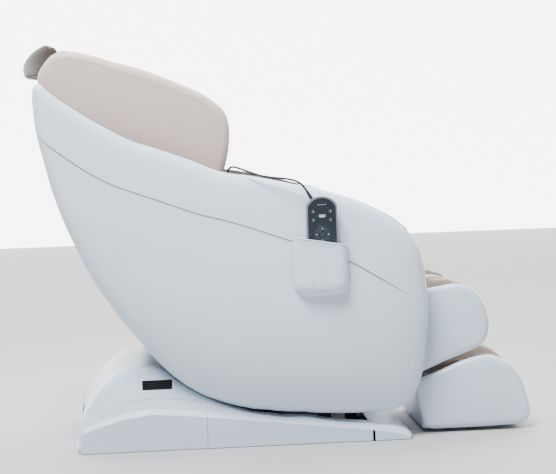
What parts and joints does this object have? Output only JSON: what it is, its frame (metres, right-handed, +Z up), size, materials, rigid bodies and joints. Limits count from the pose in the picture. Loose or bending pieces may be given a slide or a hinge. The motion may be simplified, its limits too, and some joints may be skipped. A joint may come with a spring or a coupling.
{
  "type": "massage chair",
  "caption": "Zero-gravity massage chair: padded shell that rocks on rails over a low base, head hood, lifting calf and foot rest, back massage rollers, corded remote in a side pocket.",
  "frame": {"origin": "on the floor under the middle of the chair, on the middle rubber pad of the base", "axes": "+X to the foot end, +Y to the sitter's left, +Z up"},
  "size_m": [1.4495, 0.7895, 1.167],
  "materials": {
    "shell_white": "fine-grained upholstery skin, satin",
    "hood_beige": "fine-grained upholstery skin, soft satin",
    "seat_brown": "grained upholstery skin with a soft sheen",
    "pad_taupe": "grained upholstery skin, matt",
    "leg_white": "painted moulding, satin gloss",
    "base_white": "fine textured moulding",
    "vent_dark": "fine textured moulding",
    "frame_black": "powder coat, low gloss",
    "rail_steel": "zinc plated, brushed",
    "drive_grey": "moulded housing",
    "rubber_black": "moulded rubber, matt",
    "roller_amber": "smooth urethane",
    "remote_grey": "satin moulding",
    "remote_navy": "gloss panel",
    "key_navy": "satin keys"
  },
  "bodies": {
    "base": {"floor_pads": "rubber_black", "base_frame": "frame_black", "base_cover_rear": "base_white", "base_cover_right": "base_white", "base_cover_left": "base_white", "base_cover_nose": "base_white", "vent_grille": "vent_dark", "power_inlet": "vent_dark"},
    "power_switch": {"power_switch": "vent_dark"},
    "transport_wheel_right": {"transport_wheel_right": "rubber_black"},
    "transport_wheel_left": {"transport_wheel_left": "rubber_black"},
    "guide_roller_rear": {"guide_roller_rear": "rubber_black"},
    "guide_roller_front": {"guide_roller_front": "rubber_black"},
    "seat_module": {"side_shell_right": "shell_white", "side_shell_left": "shell_white", "arm_panel_right": "shell_white", "arm_panel_left": "shell_white", "arm_pad_right": "pad_taupe", "arm_pad_left": "pad_taupe", "back_cover": "base_white", "seat_frame": "frame_black", "rocker_rail_right": "rail_steel", "rocker_rail_left": "rail_steel", "roller_track_right": "rail_steel", "roller_track_left": "rail_steel", "seat_cushion": "seat_brown", "back_cushion": "seat_brown", "head_pillow": "seat_brown", "hood_side_right": "hood_beige", "hood_side_left": "hood_beige", "hood_back": "seat_brown", "remote_pocket": "shell_white", "remote_housing": "remote_grey", "remote_face": "remote_navy", "strain_relief": "rubber_black", "remote_cord": "rubber_black", "cord_gland": "rubber_black"},
    "tilt_motor": {"tilt_motor": "drive_grey"},
    "tilt_rod": {"tilt_rod": "rail_steel"},
    "leg_rest": {"calf_housing": "leg_white", "calf_frame": "frame_black", "calf_pad": "pad_taupe"},
    "foot_rest": {"foot_housing": "leg_white", "foot_slides": "rail_steel", "foot_pad": "pad_taupe"},
    "leg_motor": {"leg_motor": "drive_grey"},
    "leg_rod": {"leg_rod": "rail_steel"},
    "massage_carriage": {"massage_carriage": "frame_black"},
    "roller_arm_right": {"roller_arm_right": "frame_black"},
    "roller_arm_left": {"roller_arm_left": "frame_black"},
    "roller_upper_right": {"massage_roller_upper_right": "roller_amber"},
    "roller_upper_left": {"massage_roller_upper_left": "roller_amber"},
    "roller_lower_right": {"massage_roller_lower_right": "roller_amber"},
    "roller_lower_left": {"massage_roller_lower_left": "roller_amber"},
    "ring_key": {"remote_ring": "key_navy"},
    "centre_key": {"remote_centre_key": "key_navy"},
    "key_upper_left": {"key_upper_left": "key_navy"},
    "key_upper_right": {"key_upper_right": "key_navy"},
    "key_middle_left": {"key_middle_left": "key_navy"},
    "key_middle_right": {"key_middle_right": "key_navy"}
  },
  "joints": [
    {"name": "seat_tilt", "type": "hinge", "parent": "base", "child": "seat_module", "pos_m": [0.052, 0, 0.7], "axis": [0, -1, 0], "range_deg": [0, 28]},
    {"name": "guide_roller_rear_spin", "type": "hinge", "parent": "base", "child": "guide_roller_rear", "pos_m": [-0.1689, 0, 0.12454], "axis": [0, 1, 0], "range_deg": [0, 760]},
    {"name": "guide_roller_front_spin", "type": "hinge", "parent": "base", "child": "guide_roller_front", "pos_m": [0.11643, 0, 0.08698], "axis": [0, 1, 0], "range_deg": [0, 760]},
    {"name": "tilt_drive_pivot", "type": "hinge", "parent": "base", "child": "tilt_motor", "pos_m": [0.225, 0.06, 0.05], "axis": [0, 1, 0], "range_deg": [0, 6.64]},
    {"name": "tilt_drive_rod", "type": "slide", "parent": "tilt_motor", "child": "tilt_rod", "axis": [0.8037, 0, -0.5951], "range_m": [0, 0.1999]},
    {"name": "leg_lift", "type": "hinge", "parent": "seat_module", "child": "leg_rest", "pos_m": [0.358, 0, 0.41], "axis": [0, -1, 0], "range_deg": [0, 80]},
    {"name": "foot_extend", "type": "slide", "parent": "leg_rest", "child": "foot_rest", "axis": [0.2316, 0, -0.9728], "range_m": [0, 0.12], "stiffness_N_per_m": 700, "springref_m": -0.14},
    {"name": "leg_drive_pivot", "type": "hinge", "parent": "seat_module", "child": "leg_motor", "pos_m": [0.06, -0.06, 0.215], "axis": [0, -1, 0], "range_deg": [0, 11.44]},
    {"name": "leg_drive_rod", "type": "slide", "parent": "leg_motor", "child": "leg_rod", "axis": [0.9665, 0, 0.2567], "range_m": [0, 0.1262]},
    {"name": "carriage_travel", "type": "slide", "parent": "seat_module", "child": "massage_carriage", "axis": [-0.3807, 0, 0.9247], "range_m": [-0.16, 0.18]},
    {"name": "roller_arm_right_rock", "type": "hinge", "parent": "massage_carriage", "child": "roller_arm_right", "pos_m": [-0.39743, -0.058, 0.6726], "axis": [0, 1, 0], "range_deg": [-9, 9]},
    {"name": "roller_upper_right_spin", "type": "hinge", "parent": "roller_arm_right", "child": "roller_upper_right", "pos_m": [-0.42037, -0.038, 0.73885], "axis": [0, 1, 0], "continuous": true},
    {"name": "roller_lower_right_spin", "type": "hinge", "parent": "roller_arm_right", "child": "roller_lower_right", "pos_m": [-0.36708, -0.038, 0.60939], "axis": [0, 1, 0], "continuous": true},
    {"name": "transport_wheel_right_spin", "type": "hinge", "parent": "base", "child": "transport_wheel_right", "pos_m": [-0.56, -0.226, 0.032], "axis": [0, 1, 0], "continuous": true},
    {"name": "roller_arm_left_rock", "type": "hinge", "parent": "massage_carriage", "child": "roller_arm_left", "pos_m": [-0.39743, 0.058, 0.6726], "axis": [0, 1, 0], "range_deg": [-9, 9]},
    {"name": "roller_upper_left_spin", "type": "hinge", "parent": "roller_arm_left", "child": "roller_upper_left", "pos_m": [-0.42037, 0.038, 0.73885], "axis": [0, 1, 0], "continuous": true},
    {"name": "roller_lower_left_spin", "type": "hinge", "parent": "roller_arm_left", "child": "roller_lower_left", "pos_m": [-0.36708, 0.038, 0.60939], "axis": [0, 1, 0], "continuous": true},
    {"name": "transport_wheel_left_spin", "type": "hinge", "parent": "base", "child": "transport_wheel_left", "pos_m": [-0.56, 0.226, 0.032], "axis": [0, 1, 0], "continuous": true},
    {"name": "power_switch_rock", "type": "hinge", "parent": "base", "child": "power_switch", "pos_m": [-0.588, 0.118, 0.062], "axis": [0, -1, 0], "range_deg": [0, 10]},
    {"name": "nav_ring_press", "type": "slide", "parent": "seat_module", "child": "ring_key", "axis": [0, 1, 0], "range_m": [0, 0.0007], "stiffness_N_per_m": 900, "springref_m": -0.0008},
    {"name": "centre_key_press", "type": "slide", "parent": "seat_module", "child": "centre_key", "axis": [0, 1, 0], "range_m": [0, 0.0007], "stiffness_N_per_m": 900, "springref_m": -0.0008},
    {"name": "key_upper_left_press", "type": "slide", "parent": "seat_module", "child": "key_upper_left", "axis": [0, 1, 0], "range_m": [0, 0.0007], "stiffness_N_per_m": 900, "springref_m": -0.0008},
    {"name": "key_upper_right_press", "type": "slide", "parent": "seat_module", "child": "key_upper_right", "axis": [0, 1, 0], "range_m": [0, 0.0007], "stiffness_N_per_m": 900, "springref_m": -0.0008},
    {"name": "key_middle_left_press", "type": "slide", "parent": "seat_module", "child": "key_middle_left", "axis": [0, 1, 0], "range_m": [0, 0.0007], "stiffness_N_per_m": 900, "springref_m": -0.0008},
    {"name": "key_middle_right_press", "type": "slide", "parent": "seat_module", "child": "key_middle_right", "axis": [0, 1, 0], "range_m": [0, 0.0007], "stiffness_N_per_m": 900, "springref_m": -0.0008}
  ],
  "couplings": [
    {"joint": "guide_roller_rear_spin", "follows": "seat_tilt", "ratio": 27},
    {"joint": "guide_roller_front_spin", "follows": "seat_tilt", "ratio": 27},
    {"joint": "tilt_drive_pivot", "follows": "seat_tilt", "ratio": 0.21575},
    {"joint": "tilt_drive_rod", "follows": "seat_tilt", "m_per_rad": 0.40502},
    {"joint": "leg_drive_pivot", "follows": "leg_lift", "ratio": 0.13555},
    {"joint": "leg_drive_rod", "follows": "leg_lift", "m_per_rad": 0.088919}
  ]
}
